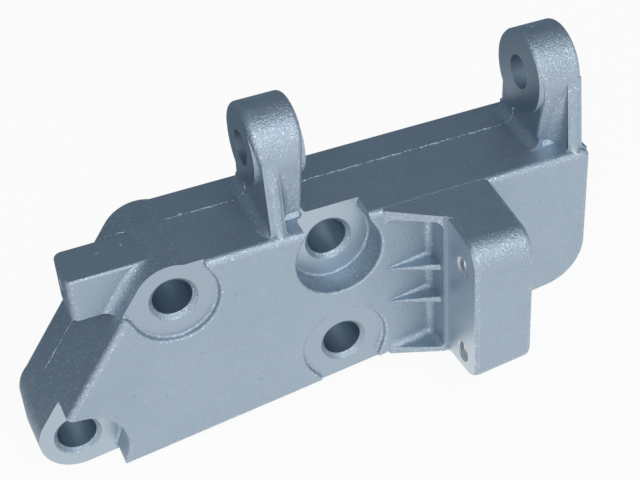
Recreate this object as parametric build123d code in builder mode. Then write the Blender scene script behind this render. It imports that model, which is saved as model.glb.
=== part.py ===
"""Cast alternator bracket: one light-metal casting with four bolt bosses, two pivot ears and a tapped pad."""
import math
import os
from build123d import *

os.makedirs("parts", exist_ok=True)

# Frame: origin on the axis of the upper left bolt hole, at the engine side face.
# +X runs along the pivot axis, +Y points to the engine, +Z is up.

# Body, drawn in front view and drafted both ways from the parting plane
body_depth = 41.0
back_half = 15.0
draft = 3.0
top_height = 13.6
boss_radius = 14.5
tip_radius = 14.0
end_x = 150.2
end_corner_radius = 18.0
end_corner_z = -25.7
end_top_radius = 4.0
body_edge_radius = 2.4

# Bolt holes, as places from the upper left one
tip_hole_x = -37.8
tip_hole_z = -51.6
right_holes_x = 56.2
right_upper_z = -0.6
right_lower_z = -38.9
bolt_radius = 6.75
bolt_chamfer = 1.5
seat_radius = 15.0
seat_rim_radius = 1.0
seat_floor_radius = 1.0
seat_draft = 1.0
shallow_seat = 2.1
deep_seat = 10.2
mouth_spread = 60.0
mouth_corner_radius = 2.5
mouth_flare = 20.0
mouth_reach = 6.0

# Pivot ears
pivot_y = -21.0
pivot_rise = 23.6
pivot_radius = 6.0
ear_radius = 14.8
left_ear_x = 34.4
right_ear_x = 133.2
ear_width = 13.4
ear_edge_radius = 1.2
left_disc_radius = 12.7
right_disc_radius = 14.4
disc_height = 1.9
rib_width = 5.2
rib_setback = 2.5
panel_setback = 11.1
leg_back_y = -5.0
foot_sink = 3.0
outer_root_radius = 4.0
inner_root_radius = 2.0
root_overlap = 1.5
rib_inner_radius = 1.5
rib_overlap = 3.0

# Pad block with its two tapped holes
pad_x = 90.0
pad_step = 1.3
pad_inner = 10.0
block_width = 21.0
block_reach = 31.0
block_draft = 5.0
block_overlap = 6.0
block_top_radius = 9.0
block_bottom_radius = 6.0
block_left_radius = 3.5
block_right_radius = 2.0
pad_tap_radius = 3.4
pad_tap_depth = 17.0
pad_tap_reach = 21.5
pad_tap_z = -2.0
pad_tap_pitch = 36.0
pad_chamfer = 0.5

# Gussets between the front plate and the pad block
gusset_start_x = 72.5
gusset_thickness = 2.8
upper_gusset_z = -11.9
gusset_pitch = 14.0
lip_thickness = 3.6
sill_thickness = 3.0
gusset_height = 8.0
gusset_crest_radius = 1.0
gusset_sink = 1.0
gusset_bite = 0.15
gusset_point = 0.05
gusset_root_radius = 2.5

# Side lug with its tapped hole
lug_x = -31.8
lug_top = 12.9
lug_height = 15.6
lug_depth = 17.5
lug_corner_radius = 3.0
lug_edge_radius = 1.0
lug_tap_radius = 2.5
lug_tap_depth = 14.0
lug_tap_chamfer = 0.6

# Hollow back
wall = 6.0
plate_thickness = 8.0
rear_boss_radius = 13.0
rear_relief = 0.8
web_thickness = 4.5
pocket_radius = 4.0
cup_wall = 4.5
web_places = (28.0, 84.0, 112.0)

# Derived places
front_half = body_depth - back_half
front_y = -body_depth
pivot_z = top_height + pivot_rise
rib_foot_y = front_y + rib_setback
panel_foot_y = front_y + panel_setback
parting = Plane.XZ.offset(back_half)
front = Plane.XZ.offset(body_depth)
lean = math.tan(math.radians(draft))
front_inset = front_half * lean
front_top = top_height - front_inset
upper_hole = (0.0, 0.0)
tip_hole = (tip_hole_x, tip_hole_z)
right_upper_hole = (right_holes_x, right_upper_z)
right_lower_hole = (right_holes_x, right_lower_z)
bolt_holes = [upper_hole, tip_hole, right_upper_hole, right_lower_hole]
end_corner = (end_x - end_corner_radius, end_corner_z)
cup_back = body_depth - deep_seat - plate_thickness
end_top = (end_x - end_top_radius, top_height - end_top_radius)

# The underside is the common tangent below the tip and the end corner
base_run = end_corner[0] - tip_hole_x
base_rise = end_corner_z - tip_hole_z
base_slope = math.atan2(base_rise, base_run) + math.asin(
    (tip_radius - end_corner_radius) / math.hypot(base_run, base_rise)
)


def base_height(x, inset):
    """Height of the underside at x, drawn in by the inset that the draft gives at some depth."""
    return tip_hole_z + (x - tip_hole_x) * math.tan(base_slope) - (tip_radius - inset) / math.cos(base_slope)


# Slanted left side, tangent to the upper left boss and the tip
with BuildSketch(parting) as left_side:
    with Locations(upper_hole):
        Circle(boss_radius)
    with Locations(tip_hole):
        Circle(tip_radius)
    make_hull()

# Outline at the parting plane: a band drawn round the bosses and the end corners
with BuildSketch(parting) as outline:
    with Locations(upper_hole):
        Circle(top_height)
    with Locations(tip_hole):
        Circle(tip_radius)
    with Locations(end_corner):
        Circle(end_corner_radius)
    with Locations(end_top):
        Circle(end_top_radius)
    make_hull()
    add(left_side.sketch)
    with Locations(right_lower_hole):
        Circle(boss_radius)

# The same outline drawn in to the middle of the wall, to trim what is added inside
with BuildSketch(Plane.XZ) as outline_core:
    add(outline.sketch)
    offset(amount=-wall / 2, mode=Mode.REPLACE)

# Bolt head seats: each is open through the outline in the headings of its mouths
slant_heading = math.degrees(math.atan2(-tip_hole_x, tip_hole_z))
base_heading = math.degrees(base_slope) - 90
lower_boss_drop = (right_lower_z - base_height(right_holes_x, front_inset)) * math.cos(base_slope)
upper_mouths = ((90, front_top), (slant_heading, boss_radius - front_inset))
tip_mouths = ((slant_heading, tip_radius - front_inset), (base_heading, tip_radius - front_inset))
right_upper_mouths = ((90, front_top - right_upper_z),)
right_lower_mouths = ((base_heading, lower_boss_drop),)


def seat_cutter(depth, mouths):
    """Recess for a bolt head: a round seat whose mouths leave it tangentially and round out at the outline."""
    spread = math.radians(mouth_spread)
    flare = math.radians(mouth_flare)
    touch_x = seat_radius * math.cos(spread)
    touch_y = seat_radius * math.sin(spread)
    with BuildPart() as cutter:
        with BuildSketch(front) as plan:
            Circle(seat_radius)
            for heading, distance in mouths:
                corner_y = touch_y - (distance - touch_x) / math.tan(spread)
                flare_y = corner_y + mouth_reach * math.cos(flare)
                with BuildSketch(Plane.XY, mode=Mode.PRIVATE) as mouth:
                    with BuildLine():
                        Polyline(
                            (0, 0),
                            (touch_x, touch_y),
                            (distance, corner_y),
                            (distance + mouth_reach * math.sin(flare), flare_y),
                            (distance + 2 * mouth_reach, flare_y),
                            (distance + 2 * mouth_reach, 0),
                            close=True,
                        )
                    make_face()
                    corner = mouth.vertices().sort_by_distance((distance, corner_y, 0))[0]
                    fillet(corner, radius=mouth_corner_radius)
                    mirror(about=Plane.XZ)
                with Locations(Rotation(0, 0, heading)):
                    add(mouth.sketch)
        extrude(amount=-depth, taper=seat_draft)
        fillet(cutter.faces().sort_by(Axis.Y)[-1].edges(), radius=seat_floor_radius)
        with BuildSketch(front):
            add(plan.sketch)
            offset(amount=2 * seat_rim_radius)
        extrude(amount=mouth_reach)
        ledge = cutter.faces().filter_by(Axis.Y).filter_by_position(Axis.Y, front_y - 0.1, front_y + 0.1)[0]
        fillet(ledge.inner_wires()[0].edges(), radius=seat_rim_radius)
    return cutter.part


# Pad block and gussets: one wedge with the body's own top and underside, shaped in plan
block_inset = (front_half - block_overlap) * lean
block_left = pad_x - pad_step
block_right = pad_x + block_width
wedge_start = gusset_start_x - block_overlap
with BuildPart() as block:
    with BuildSketch(Plane.XZ.offset(body_depth - block_overlap)):
        with BuildLine():
            Polyline(
                (wedge_start, top_height - block_inset),
                (block_right + block_reach, top_height - block_inset),
                (block_right + block_reach, base_height(block_right + block_reach, block_inset)),
                (wedge_start, base_height(wedge_start, block_inset)),
                close=True,
            )
        make_face()
    extrude(amount=block_overlap + block_reach, taper=block_draft)
    with BuildSketch(Plane.XY.offset(tip_hole_z - tip_radius)):
        with BuildLine():
            Polyline(
                (gusset_start_x, front_y),
                (block_left, front_y - pad_inner),
                (block_left, front_y - block_reach),
                (block_right, front_y - block_reach),
                (block_right, front_y + block_overlap),
                (gusset_start_x, front_y + block_overlap),
                close=True,
            )
        make_face()
    extrude(amount=top_height + tip_radius - tip_hole_z, mode=Mode.INTERSECT)
    nose = block.faces().sort_by(Axis.Y)[0]
    fillet(nose.edges().sort_by(Axis.Z)[-1], radius=block_top_radius)
    nose = block.faces().sort_by(Axis.Y)[0]
    fillet(nose.edges().sort_by(Axis.Z)[0], radius=block_bottom_radius)
    nose = block.faces().sort_by(Axis.Y)[0]
    fillet(nose.edges().sort_by(Axis.X)[0], radius=block_left_radius)
    right_edge = block.faces().sort_by(Axis.X)[-1].edges().sort_by(Axis.Y)[0]
    fillet(right_edge, radius=block_right_radius)


def ear_profile(foot_front):
    """Side view of an ear: the round head drawn down tangentially to a foot inside the body."""
    with Locations((pivot_y, pivot_z)):
        Circle(ear_radius)
    with Locations(((foot_front + leg_back_y) / 2, front_top - foot_sink / 2)):
        Rectangle(leg_back_y - foot_front, foot_sink)
    make_hull()


# Ear leg with its front panel set back, the same for both ears
with BuildPart() as leg:
    with BuildSketch(Plane.YZ):
        ear_profile(panel_foot_y)
    extrude(amount=ear_width)
    for side in (Axis.X, -Axis.X):
        cheek = leg.faces().sort_by(side)[-1]
        rim = cheek.edges().filter_by_position(Axis.Z, front_top - foot_sink / 2, pivot_z + ear_radius)
        fillet(rim, radius=ear_edge_radius)

# Rib on the front of a leg: it runs tangentially into the head and flares out at its foot
foot_run = pivot_y - rib_foot_y
foot_rise = pivot_z - front_top
tangent_angle = math.atan2(foot_rise, foot_run) + math.asin(ear_radius / math.hypot(foot_run, foot_rise))
tangent_z = pivot_z + ear_radius * math.cos(tangent_angle)
foot_z = front_top - foot_sink
with BuildPart() as rib:
    with BuildSketch(Plane.YZ.offset(-inner_root_radius)):
        ear_profile(rib_foot_y)
        with Locations((panel_foot_y + rib_overlap, foot_z)):
            Rectangle(ear_radius, tangent_z - foot_z, align=(Align.MAX, Align.MIN), mode=Mode.INTERSECT)
    extrude(amount=inner_root_radius + rib_width + rib_inner_radius)
    with BuildSketch(Plane.XZ):
        with BuildLine():
            Polyline((-inner_root_radius, front_top), (-inner_root_radius, foot_z),
                     (rib_width + rib_inner_radius, foot_z), (rib_width + rib_inner_radius, front_top))
            CenterArc((rib_width + rib_inner_radius, front_top + rib_inner_radius), rib_inner_radius, 180, 90)
            Polyline((rib_width, front_top + rib_inner_radius), (rib_width, tangent_z),
                     (0, tangent_z), (0, front_top + inner_root_radius))
            CenterArc((-inner_root_radius, front_top + inner_root_radius), inner_root_radius, -90, 90)
        make_face()
    extrude(amount=body_depth, mode=Mode.INTERSECT)
    front_edges = rib.faces().sort_by(Axis.Y)[0].edges().filter_by_position(Axis.Z, front_top, tangent_z - 0.1)
    fillet(front_edges.filter_by_position(Axis.X, -inner_root_radius, rib_width / 2), radius=ear_edge_radius)


def root_flare(radius, front_run):
    """Cove between a cheek at x = 0 and the body's top, following the top's draft on both sides of the parting."""
    with BuildPart() as cove:
        for slope, run in ((-lean, front_run), (lean, -(back_half + leg_back_y))):
            top_plane = Plane((0, -back_half, top_height), x_dir=(1, 0, 0), z_dir=(0, -1, slope))
            with BuildSketch(top_plane):
                with BuildLine():
                    Polyline((-radius, 0), (-radius, -foot_sink), (root_overlap, -foot_sink),
                             (root_overlap, radius), (0, radius))
                    CenterArc((-radius, radius), radius, -90, 90)
                make_face()
            extrude(amount=run)
    return cove.part


outer_flare = root_flare(outer_root_radius, rib_overlap - panel_foot_y - back_half)
inner_flare = mirror(root_flare(inner_root_radius, front_half - deep_seat), about=Plane.YZ)

# Side lug
with BuildPart() as lug:
    with BuildSketch(Plane.XY.offset(lug_top - lug_height)):
        with BuildLine():
            Polyline(
                (lug_x, -back_half),
                (lug_x, -back_half - lug_depth),
                (0, -back_half - lug_depth),
                (0, -back_half),
                close=True,
            )
        make_face()
    extrude(amount=lug_height)
    fillet(lug.edges().filter_by(Axis.Z).sort_by(Axis.X)[:2], radius=lug_corner_radius)
    top_face = lug.faces().sort_by(Axis.Z)[-1]
    fillet(top_face.edges().filter_by_position(Axis.X, lug_x, -1), radius=lug_edge_radius)

# Pockets between the gussets, their corners rounded
with BuildPart() as gusset_pocket:
    with BuildSketch(front):
        with BuildLine():
            Polyline(
                (wedge_start, front_top - lip_thickness),
                (block_left, front_top - lip_thickness),
                (block_left, base_height(block_left, front_half * lean) + sill_thickness),
                (wedge_start, base_height(wedge_start, front_half * lean) + sill_thickness),
                close=True,
            )
        make_face()
    extrude(amount=block_reach)
    floor = gusset_pocket.faces().sort_by(Axis.Y)[-1]
    corners = floor.edges() + gusset_pocket.edges().filter_by(Axis.Y)
    fillet(corners.filter_by_position(Axis.X, wedge_start + 1, block_left), radius=gusset_root_radius)

# Section of a gusset, its root coves let into the plate a little
root_out = -gusset_thickness / 2 - 2 * gusset_root_radius
with BuildSketch(Plane.XY) as gusset_section:
    with BuildLine():
        Polyline(
            (root_out, -gusset_sink),
            (root_out, -gusset_bite),
            (-gusset_thickness / 2, -gusset_bite),
            (-gusset_thickness / 2, gusset_height),
            (0, gusset_height),
            (0, -gusset_sink),
            close=True,
        )
    make_face()
    root = gusset_section.vertices().sort_by_distance((-gusset_thickness / 2, -gusset_bite, 0))[0]
    fillet(root, radius=gusset_root_radius)
    crest = gusset_section.vertices().sort_by_distance((-gusset_thickness / 2, gusset_height, 0))[0]
    fillet(crest, radius=gusset_crest_radius)
    mirror(about=Plane.YZ)

# Gusset: it grows from a point on the plate to its full section at the pad strip
with BuildPart() as gusset:
    with BuildSketch(Plane((gusset_start_x, front_y, 0), x_dir=(0, 0, 1), z_dir=(1, 0, 0))):
        add(gusset_section.sketch.scale(gusset_point))
    with BuildSketch(Plane((block_left + gusset_sink, front_y, 0), x_dir=(0, 0, 1), z_dir=(1, 0, 0))):
        add(gusset_section.sketch)
    loft(ruled=True)

# Hollow of the back: the outline drawn in by the wall and parted by webs, then rounded
with BuildSketch(Plane.XZ) as hollow:
    add(outline.sketch)
    offset(amount=-(wall + back_half * lean), mode=Mode.REPLACE)
    with Locations(*bolt_holes):
        Circle(rear_boss_radius, mode=Mode.SUBTRACT)
    with Locations(*[(x, 0) for x in web_places]):
        Rectangle(web_thickness, 4 * body_depth, mode=Mode.SUBTRACT)
    offset(amount=-pocket_radius, mode=Mode.REPLACE)
    offset(amount=pocket_radius, kind=Kind.ARC, mode=Mode.REPLACE)

with BuildPart() as bracket:
    extrude(outline.sketch, amount=front_half, taper=draft)
    extrude(outline.sketch, amount=-(back_half - rear_relief), taper=draft)
    fillet(bracket.faces().sort_by(Axis.Y)[0].edges(), radius=body_edge_radius)

    # Side lug
    add(lug.part)

    # Hollow back and the bosses that stand to the machined engine side
    extrude(hollow.sketch, amount=body_depth - plate_thickness, taper=draft, mode=Mode.SUBTRACT)
    with BuildSketch(Plane.XZ):
        with Locations(*bolt_holes):
            Circle(rear_boss_radius)
    extrude(amount=body_depth - plate_thickness)
    with BuildSketch(Plane.XZ.offset(cup_back)):
        with Locations(tip_hole, right_upper_hole):
            Circle(seat_radius + cup_wall)
        add(outline_core.sketch, mode=Mode.INTERSECT)
    extrude(amount=body_depth - plate_thickness - cup_back)

    # Seats of the bolt heads
    add(seat_cutter(shallow_seat, upper_mouths), mode=Mode.SUBTRACT)
    with Locations((tip_hole_x, 0, tip_hole_z)):
        add(seat_cutter(deep_seat, tip_mouths), mode=Mode.SUBTRACT)
    with Locations((right_holes_x, 0, right_upper_z)):
        add(seat_cutter(deep_seat, right_upper_mouths), mode=Mode.SUBTRACT)
    with Locations((right_holes_x, 0, right_lower_z)):
        add(seat_cutter(shallow_seat, right_lower_mouths), mode=Mode.SUBTRACT)

    # Ears, block and gussets
    with Locations((left_ear_x, 0, 0), (right_ear_x, 0, 0)):
        add(leg.part)
        add(outer_flare)
    with Locations((left_ear_x + ear_width, 0, 0), (right_ear_x + ear_width, 0, 0)):
        add(inner_flare)
    with Locations((left_ear_x, 0, 0)):
        add(rib.part)
    with Locations((right_ear_x + ear_width, 0, 0)):
        add(mirror(rib.part, about=Plane.YZ, mode=Mode.PRIVATE))
    add(block.part)
    add(gusset_pocket.part, mode=Mode.SUBTRACT)
    with Locations((0, 0, upper_gusset_z), (0, 0, upper_gusset_z - gusset_pitch)):
        add(gusset.part)

    # Raised machined discs of the ears
    with BuildSketch(Plane.YZ.offset(left_ear_x - disc_height)):
        with Locations((pivot_y, pivot_z)):
            Circle(left_disc_radius)
    extrude(amount=ear_width + 2 * disc_height)
    with BuildSketch(Plane.YZ.offset(right_ear_x - disc_height)):
        with Locations((pivot_y, pivot_z)):
            Circle(right_disc_radius)
    extrude(amount=disc_height + ear_radius / 2)

    # Bolt bores
    with BuildSketch(Plane.XZ):
        with Locations(*bolt_holes):
            Circle(bolt_radius)
    extrude(amount=body_depth, mode=Mode.SUBTRACT)
    rims = bracket.edges().filter_by(GeomType.CIRCLE).filter_by(lambda e: abs(e.radius - bolt_radius) < 0.01)
    chamfer(rims.filter_by_position(Axis.Y, front_y, -back_half), length=bolt_chamfer)

    # Pad face, machined down a step behind its strip, with the two tapped holes
    with BuildSketch(Plane.XY.offset(tip_hole_z - tip_radius)):
        with Locations((pad_x, front_y - pad_inner)):
            Rectangle(2 * pad_step, 2 * block_reach, align=(Align.MAX, Align.MAX))
    extrude(amount=2 * body_depth, mode=Mode.SUBTRACT)
    with BuildSketch(Plane.YZ.offset(pad_x)):
        with Locations((front_y - pad_tap_reach, pad_tap_z), (front_y - pad_tap_reach, pad_tap_z - pad_tap_pitch)):
            Circle(pad_tap_radius)
    extrude(amount=pad_tap_depth, mode=Mode.SUBTRACT)
    rims = bracket.edges().filter_by(GeomType.CIRCLE).filter_by(lambda e: abs(e.radius - pad_tap_radius) < 0.01)
    chamfer(rims.filter_by_position(Axis.X, pad_x - 0.1, pad_x + 0.1), length=pad_chamfer)

    # Pivot bore through both ears
    with BuildSketch(Plane.YZ.offset(left_ear_x - disc_height)):
        with Locations((pivot_y, pivot_z)):
            Circle(pivot_radius)
    extrude(amount=end_x, mode=Mode.SUBTRACT)

    # Tapped hole of the side lug
    with BuildSketch(Plane.YZ.offset(lug_x)):
        with Locations((-back_half - lug_depth / 2, lug_top - lug_height / 2)):
            Circle(lug_tap_radius)
    extrude(amount=lug_tap_depth, mode=Mode.SUBTRACT)
    rims = bracket.edges().filter_by(GeomType.CIRCLE).filter_by(lambda e: abs(e.radius - lug_tap_radius) < 0.01)
    chamfer(rims.filter_by_position(Axis.X, lug_x - 0.1, lug_x + 0.1), length=lug_tap_chamfer)

bracket.part.label = "bracket_casting"
export_step(bracket.part, "parts/bracket_casting.step")
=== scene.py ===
"""Dresses the cast alternator bracket: blasted light metal with machined faces, on a white studio floor."""
import math

import bmesh
import bpy
import numpy as np
from mathutils import Matrix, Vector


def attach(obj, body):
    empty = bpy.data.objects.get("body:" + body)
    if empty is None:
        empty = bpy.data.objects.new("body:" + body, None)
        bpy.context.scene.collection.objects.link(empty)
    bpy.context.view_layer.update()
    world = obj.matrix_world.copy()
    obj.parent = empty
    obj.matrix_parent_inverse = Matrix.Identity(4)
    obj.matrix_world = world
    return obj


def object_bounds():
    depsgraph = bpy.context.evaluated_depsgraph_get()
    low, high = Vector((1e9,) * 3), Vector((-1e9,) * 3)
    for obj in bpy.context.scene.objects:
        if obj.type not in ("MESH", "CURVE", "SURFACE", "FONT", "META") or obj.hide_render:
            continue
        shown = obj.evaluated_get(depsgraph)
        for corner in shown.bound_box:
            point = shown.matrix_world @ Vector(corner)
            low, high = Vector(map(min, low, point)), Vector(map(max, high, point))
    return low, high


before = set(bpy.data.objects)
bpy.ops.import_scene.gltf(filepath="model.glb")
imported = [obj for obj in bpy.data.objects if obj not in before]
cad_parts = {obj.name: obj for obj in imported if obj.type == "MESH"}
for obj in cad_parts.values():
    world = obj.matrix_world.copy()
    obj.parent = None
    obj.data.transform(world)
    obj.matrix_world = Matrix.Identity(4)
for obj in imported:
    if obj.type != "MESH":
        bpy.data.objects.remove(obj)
cad_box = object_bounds()

MM = 0.001

# The casting's own sizes, in millimetres
PARTING_Y = -15.0
FRONT_Y = -41.0
TOP_Z = 13.6
DRAFT = math.tan(math.radians(3.0))
BOSS_RADIUS = 14.5

# Bolt holes, as x and z, and the floors of their seats
BOLT_RADIUS = 6.75
TIP_HOLE = (-37.8, -51.6)
BOLT_HOLES = ((0.0, 0.0), TIP_HOLE, (56.2, -0.6), (56.2, -38.9))
SHALLOW_FLOOR_Y = FRONT_Y + 2.1
DEEP_FLOOR_Y = FRONT_Y + 10.2
FLOOR_REACH = 26.0

# Ears: the pivot as y and z, and the left and right cheek of each ear in x
PIVOT = (-21.0, 37.2)
PIVOT_RADIUS = 6.0
HEAD_RADIUS = 14.8
LEFT_EAR = (34.4, 47.8)
RIGHT_EAR = (133.2, 146.6)
DISC_HEIGHT = 1.9
LEFT_DISC_RADIUS = 12.7
RIGHT_DISC_RADIUS = 14.4
PANEL_FOOT_Y = -29.9
LEG_FOOT_Z = TOP_Z + (FRONT_Y - PARTING_Y) * DRAFT - 3.0
HEEL_Y = -5.16
HEEL_RADIUS = 1.0
HEEL_LEAN = 0.0424

# Ribs of the ears, and the flares at the root of each ear's left and right cheek
RIB_FOOT_Y = -38.5
RIB_WIDTH = 5.2
LEFT_RIB_X = LEFT_EAR[0] + RIB_WIDTH
RIGHT_RIB_X = RIGHT_EAR[1] - RIB_WIDTH
LEFT_ROOT_RADIUS = 4.0
RIGHT_ROOT_RADIUS = 2.0

# Pad and side lug with their tapped holes, as y and z
PAD_X = 90.0
PAD_INNER_Y = -51.0
PAD_TAPS = ((-62.5, -2.0), (-62.5, -38.0))
PAD_TAP_RADIUS = 3.4
PAD_TAP_REACH = 19.0
LUG_X = -31.8
LUG_FRONT_Y = -32.5
LUG_TOP = 12.9
LUG_BOTTOM = -2.7
LUG_TAP = (-23.75, 5.1)
LUG_TAP_RADIUS = 2.5
LUG_TAP_DEPTH = 14.0
THREAD_START = 1.3
THREAD_TURNS = 9

# How far the edges of an added form lie inside the metal
SINK = 0.03
SLIGHT_SINK = 0.02

# Colours: linear red, green and blue
CAST_DARK = (0.37, 0.455, 0.54, 1.0)
CAST_LIGHT = (0.44, 0.525, 0.61, 1.0)
CAST_PATCH = (0.395, 0.48, 0.565, 1.0)
# Painted glints: bright specks that stand in for the sparkle of the light on the blasted grain
PAINTED_GLINT_SPECK = (0.80, 0.86, 0.91, 1.0)
CAST_DENT = (0.22, 0.28, 0.35, 1.0)
CUT_LIGHT = (0.40, 0.48, 0.56, 1.0)
CUT_DARK = (0.36, 0.44, 0.52, 1.0)
# Painted light: machined bores and pivots painted lighter than the other machined faces
CUT_BORE_PAINTED_LIGHT = (0.53, 0.62, 0.70, 1.0)
# Painted glints: the tapped holes and their threads painted near white
PAINTED_TAP_GLINT = (0.80, 0.84, 0.88, 1.0)
# Painted light: the machined pad face painted lighter than the other machined faces
CUT_PAD_PAINTED_LIGHT = (0.57, 0.645, 0.70, 1.0)
# Painted light: the deep seat floors painted lighter against the shade of their recess
DEEP_FLOOR_PAINTED_LIGHT = (0.48, 0.565, 0.64, 1.0)
STUDIO_WHITE = (1.0, 1.0, 1.0, 1.0)
STUDIO_FLOOR = (0.92, 0.92, 0.92, 1.0)
STUDIO_FAR_FLOOR = (0.15, 0.20, 0.24, 1.0)
STUDIO_SWEEP = (0.88, 0.88, 0.88, 1.0)
STUDIO_ROOM = (0.165, 0.208, 0.245, 1.0)


class Wire:
    """A value or colour on its way through the nodes; arithmetic on it adds Math nodes."""

    def __init__(self, tree, socket):
        self.tree = tree
        self.socket = socket

    def node(self, kind, settings=None, out=0, **inputs):
        """Any other node: its settings go in first, then the values or links of its sockets.

        A socket is named by its own name, with _ for a space, or by i and its number."""
        made = self.tree.nodes.new(kind)
        for name, value in (settings or {}).items():
            setattr(made, name, value)
        for name, value in inputs.items():
            key = name.replace("_", " ")
            key = int(key[1:]) if key[0] == "i" and key[1:].isdigit() else key
            if isinstance(value, Wire):
                self.tree.links.new(value.socket, made.inputs[key])
            else:
                made.inputs[key].default_value = value
        return Wire(self.tree, made.outputs[out])

    def math(self, operation, *others, clamp=False):
        """Math node whose first input is this value."""
        inputs = {f"i{n}": v for n, v in enumerate((self,) + others)}
        return self.node("ShaderNodeMath", {"operation": operation, "use_clamp": clamp}, **inputs)

    def __add__(self, other): return self.math("ADD", other)
    def __sub__(self, other): return self.math("SUBTRACT", other)
    def __mul__(self, other): return self.math("MULTIPLY", other)
    def __lt__(self, other): return self.math("LESS_THAN", other)
    def __gt__(self, other): return self.math("GREATER_THAN", other)
    def __abs__(self): return self.math("ABSOLUTE")
    def __radd__(self, other): return self.math("ADD", other)

    def __rsub__(self, other):
        return self.node("ShaderNodeMath", {"operation": "SUBTRACT"}, i0=other, i1=self)

    def larger(self, other):
        """The larger of the two values."""
        return self.math("MAXIMUM", other)

    def smaller(self, other):
        """The smaller of the two values."""
        return self.math("MINIMUM", other)

    def ripple(self):
        """Sine of the value, brought to between 0 and 1."""
        return self.math("SINE") * 0.5 + 0.5

    def clamped(self):
        """The value cut off below 0 and above 1."""
        return self.math("ADD", 0.0, clamp=True)

    def step(self, low, high):
        """Smooth rise from 0 below low to 1 above high."""
        return self.node("ShaderNodeMapRange", {"interpolation_type": "SMOOTHSTEP"}, i0=self, i1=low, i2=high,
                         i3=0.0, i4=1.0)

    def mix(self, first, second):
        """Colour that goes from the first to the second as this value goes from 0 to 1."""
        return self.node("ShaderNodeMix", {"data_type": "RGBA"}, out=2, i0=self, i6=first, i7=second)


def noise(at, scale, detail=2.0, rough=0.5):
    """Fractal noise, 0 to 1, with that many cells to the metre."""
    return at.node("ShaderNodeTexNoise", Vector=at, Scale=scale, Detail=detail, Roughness=rough)


def distance(u, v, centre):
    """Distance in millimetres of the pair (u, v) from a centre: the root of the sum of squares."""
    du = u - centre[0]
    dv = v - centre[1]
    return (du * du + dv * dv).math("SQRT")


def nearest(u, v, centres):
    """Distance in millimetres of the pair (u, v) from the nearest of some centres."""
    least = distance(u, v, centres[0])
    for centre in centres[1:]:
        least = least.smaller(distance(u, v, centre))
    return least


def close_to(value, target, half=0.12):
    """1 where the value lies within half of the target, 0 elsewhere."""
    return abs(value - target) < half


def axes_of(tree, socket):
    """The x, y and z of a vector socket."""
    parts = tree.nodes.new("ShaderNodeSeparateXYZ")
    tree.links.new(socket, parts.inputs[0])
    return [Wire(tree, parts.outputs[n]) for n in range(3)]


def new_material(name):
    """Material with one shader, and the Object coordinates to place its colours by."""
    material = bpy.data.materials.new(name)
    material.use_nodes = True
    tree = material.node_tree
    tree.nodes.clear()
    output = tree.nodes.new("ShaderNodeOutputMaterial")
    output.name = "output"
    shader = tree.nodes.new("ShaderNodeBsdfPrincipled")
    tree.links.new(shader.outputs[0], output.inputs[0])
    coords = tree.nodes.new("ShaderNodeTexCoord")
    coords.name = "coords"
    at = Wire(tree, coords.outputs["Object"])
    return material, tree, shader, at


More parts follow.
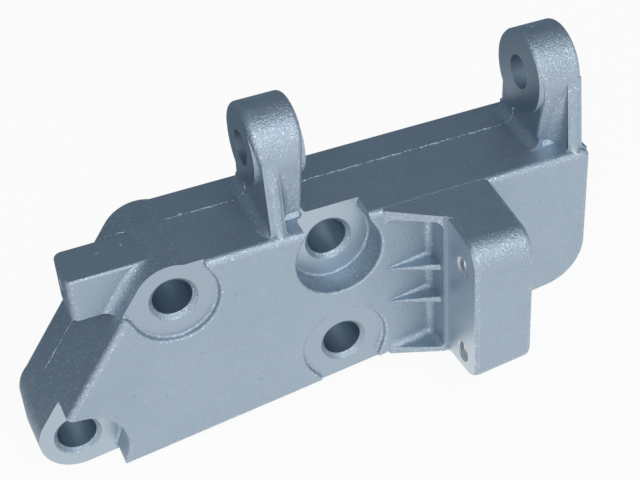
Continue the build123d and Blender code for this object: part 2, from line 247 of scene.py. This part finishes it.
def cast_metal():
    """Blasted casting, its machined faces picked out by their place on the object.

    The casting has a cloudy ground with pale patches, bright specks and dark dents; the bright specks are
    painted glints, fainter on flat faces. The machined faces are smoother, have turning or milling marks, and
    some take a
    colour of their own: bores, pivots, pad and deep seat floors are painted lighter as painted light, and the
    tapped holes carry painted glints."""
    material, tree, shader, at = new_material("blasted_cast_metal")
    x, y, z = (wire * 1000.0 for wire in axes_of(tree, at.socket))
    turn_x, turn_y, turn_z = axes_of(tree, tree.nodes["coords"].outputs["Normal"])

    # Machined faces: 1 on the face, 0 elsewhere
    r_bolt = nearest(x, z, BOLT_HOLES)
    r_pivot = distance(y, z, PIVOT)
    seat_floors = close_to(y, SHALLOW_FLOOR_Y) + close_to(y, DEEP_FLOOR_Y)
    floors = seat_floors * (r_bolt < FLOOR_REACH) * (turn_y < -0.99)
    # The deep seat floors, which get painted light below
    deep_floors = floors * close_to(y, DEEP_FLOOR_Y)
    bores = r_bolt < BOLT_RADIUS + 0.05
    engine_side = y > -0.1
    disc_planes = (close_to(x, LEFT_EAR[0] - DISC_HEIGHT) + close_to(x, LEFT_EAR[1] + DISC_HEIGHT)
                   + close_to(x, RIGHT_EAR[0] - DISC_HEIGHT))
    discs = disc_planes * (r_pivot < HEAD_RADIUS - 0.2)
    pivots = (r_pivot < PIVOT_RADIUS + 0.1) * (x > LEFT_EAR[0] - 4.4)
    pad = close_to(x, PAD_X) * (y < PAD_INNER_Y + 0.05)
    in_pad = (x > PAD_X + 0.2) * (x < PAD_X + PAD_TAP_REACH)
    pad_taps = (nearest(y, z, PAD_TAPS) < PAD_TAP_RADIUS + 0.2) * in_pad
    lug_tap = (distance(y, z, LUG_TAP) < LUG_TAP_RADIUS + 0.1) * (x < LUG_X + LUG_TAP_DEPTH)
    taps = pad_taps + lug_tap
    machined = (floors + bores + engine_side + discs + pivots + pad + taps).clamped()

    # Turning marks round the bolt holes and pivots, and straight milling marks on the pad
    bolt_marks = (r_bolt * 9.0).ripple()
    disc_marks = (r_pivot * 11.0).ripple()
    pad_marks = (z * 7.0 + noise(at, 60.0) * 6.0).ripple()
    marks = bolt_marks * (1.0 - discs) * (1.0 - pad) + disc_marks * discs + pad_marks * pad

    # Unevenness of the casting, from wide to fine, and painted glints
    cloud = noise(at, 38.0, 4.0, 0.6)
    patch = noise(at, 160.0, 3.0, 0.6)
    dent = noise(at, 230.0, 2.0, 0.6).step(0.70, 0.78)
    pits = noise(at, 900.0, 1.0, 0.5)
    # Painted glints: where the bright specks fall
    speck = noise(at, 1700.0, 1.0, 0.5).step(0.56, 0.70)
    grain = noise(at, 2000.0, 1.5, 0.7)
    # Flat faces, where the painted glints are made fainter than on rounded ones
    flat = abs(turn_x).larger(abs(turn_y)).larger(abs(turn_z)) > 0.985

    cast_colour = cloud.mix(CAST_DARK, CAST_LIGHT)
    cast_colour = (patch.step(0.45, 0.75) * 0.35).mix(cast_colour, CAST_PATCH)
    # Painted glints mixed into the colour, fainter on flat faces
    cast_colour = (speck * (0.7 - flat * 0.57)).mix(cast_colour, PAINTED_GLINT_SPECK)
    cast_colour = (dent * 0.35).mix(cast_colour, CAST_DENT)
    machined_colour = (marks * 0.2).mix(CUT_LIGHT, CUT_DARK)
    # Painted light: bores, pivots, pad and deep seat floors painted lighter, and painted glints in the tapped
    # holes
    for mask, painted_light_tint in (((bores + pivots).clamped(), CUT_BORE_PAINTED_LIGHT), (taps.clamped(), PAINTED_TAP_GLINT), (pad, CUT_PAD_PAINTED_LIGHT),
                       (deep_floors, DEEP_FLOOR_PAINTED_LIGHT)):
        machined_colour = mask.mix(machined_colour, painted_light_tint)
    colour = machined.mix(cast_colour, machined_colour)

    cast_rough = 0.42 + patch * 0.12 + grain * 0.08
    machined_rough = 0.36 + marks * 0.05
    rough = cast_rough * (1.0 - machined) + machined_rough * machined

    height = (grain + pits * 0.5 - dent * 0.25) * (1.0 - machined) + (marks * 0.05 + grain * 0.2) * machined
    bump = at.node("ShaderNodeBump", Strength=1.0, Distance=0.0002, Height=height)
    for name, wire in (("Base Color", colour), ("Roughness", rough), ("Normal", bump)):
        tree.links.new(wire.socket, shader.inputs[name])
    shader.inputs["Metallic"].default_value = 1.0
    return material


def studio_floor():
    """White floor that keeps the shadow.

    For what the camera and the metal see, it is mostly its own white. The metal sees it dim behind and to the
    left of the object, where the photograph's metal mirrors the room."""
    material, tree, shader, at = new_material("white_floor")
    shader.inputs["Base Color"].default_value = STUDIO_FLOOR
    shader.inputs["Roughness"].default_value = 1.0
    shader.inputs["Specular IOR Level"].default_value = 0.0
    glow = tree.nodes.new("ShaderNodeEmission")
    path = tree.nodes.new("ShaderNodeLightPath")
    x, y, _ = axes_of(tree, at.socket)
    in_front = 1.0 - (y - x * 0.7).step(0.0, 0.12)
    camera, glossy, through = (Wire(tree, path.outputs[f"Is {kind} Ray"])
                               for kind in ("Camera", "Glossy", "Transmission"))
    glow_colour = camera.larger(in_front).mix(STUDIO_FAR_FLOOR, STUDIO_WHITE)
    tree.links.new(glow_colour.socket, glow.inputs["Color"])
    own_white = camera.larger(glossy.larger(through)) * 0.93
    blend = tree.nodes.new("ShaderNodeMixShader")
    tree.links.new(own_white.socket, blend.inputs[0])
    tree.links.new(shader.outputs[0], blend.inputs[1])
    tree.links.new(glow.outputs[0], blend.inputs[2])
    tree.links.new(blend.outputs[0], tree.nodes["output"].inputs[0])
    return material


def studio_world():
    """White sweep in front of the object, and a dim blue-grey room behind and above it."""
    world = bpy.data.worlds.new("studio")
    bpy.context.scene.world = world
    world.use_nodes = True
    tree = world.node_tree
    tree.nodes.clear()
    output = tree.nodes.new("ShaderNodeOutputWorld")
    coords = tree.nodes.new("ShaderNodeTexCoord")
    path = tree.nodes.new("ShaderNodeLightPath")
    _, back, up = axes_of(tree, coords.outputs["Generated"])
    sweep = (1.0 - back.step(-0.5, 0.35)) * (1.0 - up.step(0.28, 0.75))
    colour = sweep.mix(STUDIO_ROOM, STUDIO_SWEEP)
    colour = Wire(tree, path.outputs["Is Camera Ray"]).mix(colour, STUDIO_WHITE)
    sky = tree.nodes.new("ShaderNodeBackground")
    tree.links.new(colour.socket, sky.inputs["Color"])
    tree.links.new(sky.outputs[0], output.inputs[0])


def stand(name, data, right, up, back, place):
    """Puts a lamp or camera at a place in metres, its own x, y and z turned right, up and back."""
    made = bpy.data.objects.new(name, data)
    bpy.context.collection.objects.link(made)
    made.matrix_world = Matrix(np.stack((right, up, back, place), axis=1).tolist() + [[0.0, 0.0, 0.0, 1.0]])
    return made


def soft_box(name, place, target, size, power):
    """Square area lamp at a place, turned to a target, both in metres."""
    data = bpy.data.lights.new(name, "AREA")
    data.shape = "SQUARE"
    data.size = size
    data.energy = power
    away = np.array(place, float) - np.array(target, float)
    away /= np.linalg.norm(away)
    side = np.cross((0.0, 0.0, 1.0), away)
    side /= np.linalg.norm(side)
    stand(name, data, side, np.cross(away, side), away, place)


def photo_camera():
    """Camera solved from the photograph: a turn, a tilt and a roll about the object, and its distance.

    The angles are in radians, the way to the object in millimetres, and the focal length in pixels of a
    picture 640 wide."""
    turn, tilt, roll = 0.3355, 0.6569, 0.0767
    across, down, away = -45.577, -19.989, 457.54
    focal, picture_width = 1449.42, 640
    right = np.array((math.cos(turn), -math.sin(turn), 0.0))
    up = np.array((math.sin(turn) * math.sin(tilt), math.cos(turn) * math.sin(tilt), math.cos(tilt)))
    ahead = np.array((math.sin(turn) * math.cos(tilt), math.cos(turn) * math.cos(tilt), -math.sin(tilt)))
    right, up = math.cos(roll) * right - math.sin(roll) * up, math.cos(roll) * up + math.sin(roll) * right
    place = -(right * across + up * down + ahead * away) + np.array((0.0, FRONT_Y, 0.0))
    data = bpy.data.cameras.new("photo_camera")
    data.sensor_width = 36.0
    data.lens = focal / picture_width * data.sensor_width
    data.clip_start = 0.01
    bpy.context.scene.camera = stand("photo_camera", data, right, up, -ahead, place * MM)


def skin(name, rings, material):
    """Closed skin through rings of points: quads join ring i to ring i + 1, and a cap closes each end.

    The rings are an array of rings x points x 3, in millimetres, and the faces are turned outward."""
    count, around = rings.shape[:2]
    index = np.arange(count * around).reshape(count, around)
    after = np.roll(index, -1, axis=1)
    quads = np.stack((index[:-1], after[:-1], after[1:], index[1:]), axis=-1).reshape(-1, 4)
    mesh = bpy.data.meshes.new(name)
    mesh.from_pydata((rings.reshape(-1, 3) * MM).tolist(), [],
                     quads.tolist() + [index[0, ::-1].tolist(), index[-1].tolist()])
    shell = bmesh.new()
    shell.from_mesh(mesh)
    bmesh.ops.recalc_face_normals(shell, faces=shell.faces)
    shell.to_mesh(mesh)
    shell.free()
    mesh.shade_smooth()
    mesh.set_sharp_from_angle(angle=math.radians(40.0))
    mesh.materials.append(material)
    piece = bpy.data.objects.new(name, mesh)
    bpy.context.collection.objects.link(piece)
    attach(piece, "root")


def level_skin(name, x, y, z, material):
    """Closed skin through level sections: row i of x and y lies at height z[i]."""
    skin(name, np.stack((x, y, np.repeat(z[:, None], x.shape[1], axis=1)), axis=2), material)


def smooth(share):
    """Smooth rise from 0 to 1 as the share goes from 0 to 1: three squares less two cubes."""
    return share * share * (3.0 - 2.0 * share)


def waves(s, seed, rows):
    """Sum of sine waves over s; each row gives the size, the rate, and the phase in seeds."""
    return sum(size * np.sin(rate * s + phase * seed) for size, rate, phase in rows)


def flash_line(name, stations, height, seed, material):
    """Ragged flash along the parting line: half-round beads threaded on a path.

    The path runs straight between its stations, rows of x, y, z, and wavers a little in y. The bead's radius
    is the height times the sum of a constant and three sine waves of unlike length, cut off at a small value,
    and brought to nearly nothing at both ends: over 3 mm at the start and 1 mm at the end."""
    stations = np.array(stations, float)
    steps = np.linalg.norm(np.diff(stations, axis=0), axis=1)
    along = np.concatenate(([0.0], np.cumsum(steps)))
    spacing = 0.25
    s = np.linspace(0.0, along[-1], int(along[-1] / spacing) + 2)
    path = np.stack([np.interp(s, along, stations[:, n]) for n in range(3)], axis=1)
    path[:, 1] += waves(s, seed, ((0.12, 0.9, 1.0), (0.07, 2.3, 2.0)))
    wave = 0.6 + waves(s, seed, ((0.30, 0.37, 1.0), (0.22, 1.3, 3.0), (0.20, 3.1, 1.0)))
    ends = np.clip(np.minimum(s / 3.0, s[-1] - s), 0.02, 1.0)
    radius = height * np.clip(wave, 0.05, 1.2) * ends
    ahead = np.gradient(path, axis=0)
    ahead /= np.linalg.norm(ahead, axis=1)[:, None]
    side = np.array((0.0, 1.0, 0.0))
    over = np.cross(ahead, side)
    over /= np.linalg.norm(over, axis=1)[:, None]
    angle = np.linspace(0.0, 2.0 * math.pi, 8, endpoint=False)
    ring = np.cos(angle)[None, :, None] * side + np.sin(angle)[None, :, None] * over[:, None, :]
    skin(name, path[:, None, :] + radius[:, None, None] * ring, material)


def up_the_root(cheek_x):
    """Stations of the flash up the flare at an ear's root: part of a quarter circle, then the cheek."""
    angle = np.radians(np.linspace(10.0, 75.0, 7))
    radius = LEFT_ROOT_RADIUS
    climb = [(cheek_x - radius + radius * math.sin(a), PARTING_Y + 0.4, TOP_Z + radius - radius * math.cos(a))
             for a in angle]
    return climb + [(cheek_x - 0.05, PARTING_Y + 0.6, TOP_Z + radius + 1.5)]


def thread_ridge(name, start_x, centre, radius, pitch, depth, material):
    """Thread of a tapped hole: a three-cornered ridge wound on the wall.

    At angle a the ridge stands at x = start + pitch * a / turn. Its crest is the depth inside the wall, less
    over the first and last half turn. Its two feet lie most of a pitch apart, a little inside the metal."""
    angle = np.linspace(0.0, 2.0 * math.pi * THREAD_TURNS, 36 * THREAD_TURNS + 1)
    x = start_x + THREAD_START + pitch * angle / (2.0 * math.pi)
    grown = np.clip(np.minimum(angle, angle[-1] - angle) / math.pi, 0.0, 1.0)
    foot = np.full_like(angle, radius + 0.1)
    low_crest = radius + 0.05
    crest = low_crest - (depth + 0.05) * grown
    r = np.stack((foot, crest, foot), axis=1)
    half_foot = pitch * 0.42
    along = np.stack((x - half_foot, x, x + half_foot), axis=1)
    y = centre[0] + r * np.cos(angle)[:, None]
    z = centre[1] + r * np.sin(angle)[:, None]
    skin(name, np.stack((along, y, z), axis=2), material)


def head_cheek(name, cheek_x, out, disc_radius, edge_radius, material):
    """Cast cheek that rises round the top of an ear's head until it lies level with the machined disc.

    Out is -1 for a cheek that looks left and 1 for one that looks right. At angle a from the crest its height
    over the cheek is the disc's height times a weight that is 1 near the crest and the back and falls
    smoothly to 0 towards the front and both legs. Its section runs level from under the disc's rim, turns
    over a quarter circle and dives into the rim of the head."""
    first, last, front_fade, back_fade = -112.0, 118.0, 75.0, 40.0
    degrees = np.linspace(first, last, 93)
    weight = (smooth(np.clip((degrees - first) / front_fade, 0.0, 1.0))
              * smooth(np.clip((last - degrees) / back_fade, 0.0, 1.0)))
    height = (DISC_HEIGHT - SLIGHT_SINK) * weight - 0.1 * (weight < 0.01)
    bend = np.linspace(0.0, math.pi / 2.0, 9)
    buried = 0.6
    inner = disc_radius - buried
    rim = HEAD_RADIUS - 0.01
    low = -buried - edge_radius
    turned_in = edge_radius * (1.0 - np.sin(bend))
    dropped = edge_radius * (np.cos(bend) - 1.0)
    r = np.concatenate(([inner, inner], rim - turned_in, [rim, rim - 0.3, rim - 0.8]))
    base = np.concatenate(([-buried, 0.0], dropped, [low, low - 0.3, low - 0.3]))
    rise = np.concatenate(([0.0, 1.0], np.ones_like(bend), [0.0, 0.0, 0.0]))
    angle = np.radians(degrees)[:, None]
    x = cheek_x + out * (base[None, :] + rise[None, :] * height[:, None])
    y = PIVOT[0] + r[None, :] * np.sin(angle)
    z = PIVOT[1] + r[None, :] * np.cos(angle)
    skin(name, np.stack((x, y, z), axis=2), material)


def side_wall(z, y):
    """Place in x of the body's left side: the boss's circle, drawn in by the draft, then its tangent down."""
    radius = BOSS_RADIUS - (PARTING_Y - y) * DRAFT
    run = math.hypot(*TIP_HOLE)
    tangent_z = radius * -TIP_HOLE[0] / run
    circle = -np.sqrt(np.maximum(radius * radius - z * z, 0.0))
    slope = radius * TIP_HOLE[1] / run + (tangent_z - z) * TIP_HOLE[0] / -TIP_HOLE[1]
    return np.where(z > tangent_z, circle, slope)


def lug_cove(name, radius, material):
    """Cove between the lug's front and the body's side: a quarter circle in plan at every height.

    At angle a the cove stands radius * (1 - sin a) off the side and radius * (1 - cos a) off the lug, and the
    radius shrinks to a tenth over the lug's rounded top edge."""
    fade = 1.5
    shoulder = LUG_TOP - fade - 0.1
    z = np.concatenate((np.linspace(LUG_BOTTOM + 0.05, shoulder, 24),
                        shoulder + fade * np.sin(np.linspace(0.1, 1.5, 8))))
    shrink = np.sqrt(np.clip(1.0 - (np.clip(z - shoulder, 0.0, fade) / fade) ** 2, 0.01, 1.0))
    size = radius * shrink[:, None]
    bend = np.linspace(0.0, math.pi / 2.0, 13)[None, :]
    y = LUG_FRONT_Y + SINK - size * (1.0 - np.cos(bend))
    x = side_wall(z[:, None], y) + SINK - size * (1.0 - np.sin(bend))
    inside = 1.2
    x = np.concatenate((x, x[:, -1:] + inside, x[:, -1:] + inside, x[:, :1]), axis=1)
    y = np.concatenate((y, y[:, -1:], y[:, :1] + inside, y[:, :1] + inside), axis=1)
    level_skin(name, x, y, z, material)


def leg_front(foot_y, z):
    """Place in y of a leg's front at height z: straight from its foot, tangent to the head, then the head."""
    run, rise = PIVOT[0] - foot_y, PIVOT[1] - LEG_FOOT_Z
    turn = math.atan2(rise, run) + math.asin(HEAD_RADIUS / math.hypot(run, rise))
    touch_y, touch_z = PIVOT[0] - HEAD_RADIUS * math.sin(turn), PIVOT[1] + HEAD_RADIUS * math.cos(turn)
    straight = foot_y + (z - LEG_FOOT_Z) * (touch_y - foot_y) / (touch_z - LEG_FOOT_Z)
    head = PIVOT[0] - np.sqrt(np.maximum(HEAD_RADIUS ** 2 - (z - PIVOT[1]) ** 2, 0.0))
    return np.where(z < touch_z, straight, head)


def rib_cove(name, rib_x, towards, width, material):
    """Hollow run-out between an ear's rib and its panel, from the foot up to where the rib joins the head.

    Level sections: at a share u of the width away from the rib, the cove stands off the panel by a little
    less than the rib's own height times 1 - sqrt(1 - (1 - u)^2), a quarter of an ellipse. The width narrows
    where that height is less than 3 mm."""
    z = np.linspace(12.0, 36.6, 42)
    panel, rib = leg_front(PANEL_FOOT_Y, z)[:, None], leg_front(RIB_FOOT_Y, z)[:, None]
    height = panel - rib - 0.25
    share = np.linspace(0.0, 1.0, 15)[None, :]
    x = rib_x + towards * (width * np.clip(height / 3.0, 0.15, 1.0) * share - SLIGHT_SINK)
    y = panel + SINK - height * (1.0 - np.sqrt(1.0 - (1.0 - share) ** 2))
    under_rib = np.full_like(height, rib_x - towards)
    buried_y = y[:, -1:] + 0.8
    x = np.concatenate((x, x[:, -1:], under_rib, under_rib), axis=1)
    y = np.concatenate((y, buried_y, buried_y, y[:, :1]), axis=1)
    level_skin(name, x, y, z, material)


def rib_crown(name, first_x, last_x, material):
    """Rounded front of an ear's rib, which spreads at its foot.

    Level sections: at a share u of the width the crown stands off the rib by its height times 1 - (2u - 1)^2.
    The height fades out over the last 8 mm below the head and grows at the foot as a falling exponential."""
    height, fade, top_z = 0.9, 8.0, 38.0
    spread, spread_z = 1.3, 11.8
    z = np.linspace(11.0, top_z, 60)
    rib = leg_front(RIB_FOOT_Y, z)[:, None]
    proud = (height * np.clip((top_z - z) / fade, 0.02, 1.0)
             + spread * np.exp(-np.clip(z - spread_z, 0.0, None) / spread))
    share = np.linspace(0.0, 1.0, 15)[None, :]
    x = np.repeat(first_x + (last_x - first_x) * share, len(z), axis=0)
    y = rib + SINK - proud[:, None] * (1.0 - (2.0 * share - 1.0) ** 2)
    x = np.concatenate((x, x[:, -1:], x[:, :1]), axis=1)
    y = np.concatenate((y, rib + 0.6, rib + 0.6), axis=1)
    level_skin(name, x, y, z, material)


def foot_cove(name, first_x, last_x, material):
    """Cove along the foot of an ear's panel, where it meets the body's top.

    Its section is a parabola that leaves the panel and the top tangentially, each at the size's distance from
    their corner; near its right end the size falls off as a quarter circle."""
    size, end_run = 2.2, 1.5
    z = np.linspace(12.0, 14.0, 201)
    top = TOP_Z + (leg_front(PANEL_FOOT_Y, z) - PARTING_Y) * DRAFT
    meet = z[np.argmin(np.abs(z - top))]
    corner = np.array((float(leg_front(PANEL_FOOT_Y, meet)), meet))
    low_z, high_z = 13.0, 20.0
    up = np.array((float(leg_front(PANEL_FOOT_Y, high_z) - leg_front(PANEL_FOOT_Y, low_z)), high_z - low_z))
    up /= np.linalg.norm(up)
    ahead = np.array((-1.0, -DRAFT))
    u = np.linspace(0.0, 1.0, 13)[:, None]
    curve = (1.0 - u) ** 2 * up + u ** 2 * ahead
    inside = np.array((0.35, -0.35))
    x = np.linspace(first_x, last_x, 24)
    beyond = np.clip((x - last_x + end_run) / end_run, 0.0, 0.99)
    grown = size * np.sqrt(1.0 - beyond ** 2)
    section = corner + grown[:, None, None] * curve[None, :, :] + SLIGHT_SINK * inside
    closing = np.stack((section[:, -1] + inside, section[:, 0] + inside), axis=1)
    section = np.concatenate((section, closing), axis=1)
    across = np.repeat(x[:, None, None], section.shape[1], axis=1)
    skin(name, np.concatenate((across, section), axis=2), material)


def root_section(foot, away, radius, lean):
    """Sections of the cove at an ear's root, for a row of foot points and their level directions off the leg.

    At angle b the cove stands radius * (1 - sin b) off the leg and radius * (1 - cos b) over the body's top,
    which falls with the draft on both sides of the parting line. The leg itself leans by lean for each unit
    of height. Three points inside the metal close the section."""
    bend = np.linspace(0.0, math.pi / 2.0, 13)[None, :]
    size = radius[:, None]
    inside = np.full_like(size, -0.8)
    off = np.concatenate((size * (1.0 - np.sin(bend)), inside, inside, size), axis=1)
    over = np.concatenate((size * (1.0 - np.cos(bend)), size, inside, inside), axis=1)
    x = foot[:, :1] + away[:, :1] * off
    y = foot[:, 1:] + away[:, 1:] * off - lean * np.abs(away[:, 1:]) * over
    top = TOP_Z - np.abs(y - PARTING_Y) * DRAFT
    return np.stack((x, y, top + over - SLIGHT_SINK), axis=2)


def heel_cove(name, ear, material):
    """Cove round the back of an ear's foot: from the left cheek's flare round the heel to the right one's.

    Each corner of the foot is a quarter circle, and the cove's radius goes evenly from the left flare's to
    the heel's own and on to the right flare's."""
    left_x, right_x = ear
    back_radius = 3.2
    turn = np.radians(np.linspace(0.0, 90.0, 10))
    left_away = np.stack((-np.cos(turn), np.sin(turn)), axis=1)
    right_away = np.stack((np.sin(turn), np.cos(turn)), axis=1)
    left_foot = np.array((left_x + HEEL_RADIUS, HEEL_Y - HEEL_RADIUS)) + HEEL_RADIUS * left_away
    right_foot = np.array((right_x - HEEL_RADIUS, HEEL_Y - HEEL_RADIUS)) + HEEL_RADIUS * right_away
    foot = np.concatenate((left_foot, right_foot))
    away = np.concatenate((left_away, right_away))
    radius = np.concatenate((np.linspace(LEFT_ROOT_RADIUS, back_radius, 10),
                             np.linspace(back_radius, RIGHT_ROOT_RADIUS, 10)))
    skin(name, root_section(foot, away, radius, HEEL_LEAN), material)


def flare_end(name, cheek_x, side, start_y, end_y, radius, material):
    """Run-out of a root flare towards the front: its radius falls to nearly nothing as a quarter circle."""
    share = np.sin(np.linspace(0.0, 1.54, 16))
    foot = np.stack((np.full_like(share, cheek_x), start_y + (end_y - start_y) * share), axis=1)
    away = np.tile((float(side), 0.0), (len(share), 1))
    skin(name, root_section(foot, away, radius * np.sqrt(1.0 - share * share), 0.0), material)


def nub(name, centre, radius, height, material):
    """Small bead left by the mould: the upper part of an egg, ring by ring from inside the metal up."""
    polar = np.linspace(math.radians(120.0), math.radians(4.0), 10)[:, None]
    angle = np.linspace(0.0, 2.0 * math.pi, 16, endpoint=False)[None, :]
    x = centre[0] + radius * np.sin(polar) * np.cos(angle)
    y = centre[1] + radius * np.sin(polar) * np.sin(angle)
    z = centre[2] + height * np.cos(polar) + 0.0 * angle
    skin(name, np.stack((x, y, z), axis=2), material)


def flash_lines(metal):
    """Flash on the parting line, where the photograph shows it."""
    top = [(x, PARTING_Y, TOP_Z) for x in (51.0, 100.0, 128.5)]
    left_top = [(x, PARTING_Y, TOP_Z) for x in (5.6, 29.8)]
    boss = [(x, PARTING_Y + 0.5, LUG_TOP) for x in (-15.0, -7.0)]
    crest_y = PIVOT[0] + 2.4
    crest_z = PIVOT[1] + math.sqrt(HEAD_RADIUS ** 2 - (crest_y - PIVOT[0]) ** 2) - 0.14
    head = [(x, crest_y, crest_z) for x in (RIGHT_EAR[0] - 0.6, RIGHT_EAR[1] - 0.4)]
    side_z = np.linspace(-5.0, -34.0, 8)
    side_x = side_wall(side_z, np.full_like(side_z, PARTING_Y))
    side = [(x, PARTING_Y, z) for x, z in zip(side_x, side_z)]
    flash_line("top_flash", top + up_the_root(RIGHT_EAR[0]), height=0.34, seed=1.0, material=metal)
    flash_line("left_top_flash", left_top + up_the_root(LEFT_EAR[0]), height=0.32, seed=2.2, material=metal)
    flash_line("boss_flash", boss, height=0.28, seed=4.1, material=metal)
    flash_line("head_flash", head, height=0.26, seed=0.4, material=metal)
    flash_line("side_flash", side, height=0.28, seed=3.3, material=metal)


def cast_forms(metal):
    """Beads, rounded cheeks and coves of the casting that its solid doesn't have."""
    nub("vent_nub", (11.6, -14.1, TOP_Z), radius=1.1, height=0.55, material=metal)
    nub("lug_nub", (-10.5, -20.3, LUG_TOP), radius=0.6, height=0.3, material=metal)
    nub("lug_speck", (-18.7, -21.4, LUG_TOP), radius=0.4, height=0.3, material=metal)

    head_cheek("left_head_left_cheek", LEFT_EAR[0], -1, LEFT_DISC_RADIUS, edge_radius=2.0, material=metal)
    head_cheek("left_head_right_cheek", LEFT_EAR[1], 1, LEFT_DISC_RADIUS, edge_radius=2.0, material=metal)
    head_cheek("right_head_left_cheek", RIGHT_EAR[0], -1, RIGHT_DISC_RADIUS, edge_radius=1.0, material=metal)
    lug_cove("lug_cove", radius=4.2, material=metal)
    rib_cove("left_rib_cove", LEFT_RIB_X, towards=1.0, width=4.0, material=metal)
    rib_cove("right_rib_cove", RIGHT_RIB_X, towards=-1.0, width=5.0, material=metal)
    rib_crown("left_rib_crown", LEFT_EAR[0] + 0.8, LEFT_RIB_X, metal)
    rib_crown("right_rib_crown", RIGHT_RIB_X, RIGHT_EAR[1] - 0.8, metal)
    heel_cove("left_heel_cove", LEFT_EAR, metal)
    heel_cove("right_heel_cove", RIGHT_EAR, metal)
    flare_end("left_flare_end", LEFT_EAR[0], -1, start_y=-32.8, end_y=-38.2, radius=LEFT_ROOT_RADIUS,
              material=metal)
    flare_end("right_flare_end", RIGHT_EAR[1], 1, start_y=-30.7, end_y=-37.5, radius=RIGHT_ROOT_RADIUS,
              material=metal)
    foot_cove("left_foot_cove", LEFT_RIB_X - 0.6, LEFT_EAR[1] - 0.2, metal)
    foot_cove("right_foot_cove", RIGHT_EAR[0] + 0.2, RIGHT_RIB_X + 0.6, metal)


def threads(metal):
    """Threads of the tapped holes, in the pad and in the side lug."""
    for number, place in enumerate(PAD_TAPS):
        thread_ridge(f"pad_thread_{number + 1}", PAD_X, place, PAD_TAP_RADIUS, pitch=1.25, depth=0.35,
                     material=metal)
    thread_ridge("lug_thread", LUG_X, LUG_TAP, LUG_TAP_RADIUS, pitch=1.0, depth=0.28, material=metal)


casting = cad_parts["bracket_casting"]
metal = cast_metal()
for slot in casting.material_slots:
    slot.material = metal
flash_lines(metal)
cast_forms(metal)
threads(metal)

floor_mesh = bpy.data.meshes.new("floor")
floor_z = cad_box[0][2]
reach = 6.0
floor_mesh.from_pydata([(-reach, -reach, floor_z), (reach, -reach, floor_z), (reach, reach, floor_z),
                        (-reach, reach, floor_z)], [], [(0, 1, 2, 3)])
floor = bpy.data.objects.new("floor", floor_mesh)
bpy.context.collection.objects.link(floor)
floor_mesh.materials.append(studio_floor())

studio_world()
centre = (0.05, -0.02, 0.0)
soft_box("key", (0.25, -0.75, 0.95), centre, size=0.45, power=4.5)
soft_box("left_fill", (-0.5, -0.9, 0.6), centre, size=0.6, power=2.0)
photo_camera()
bpy.context.scene.view_settings.view_transform = "Standard"
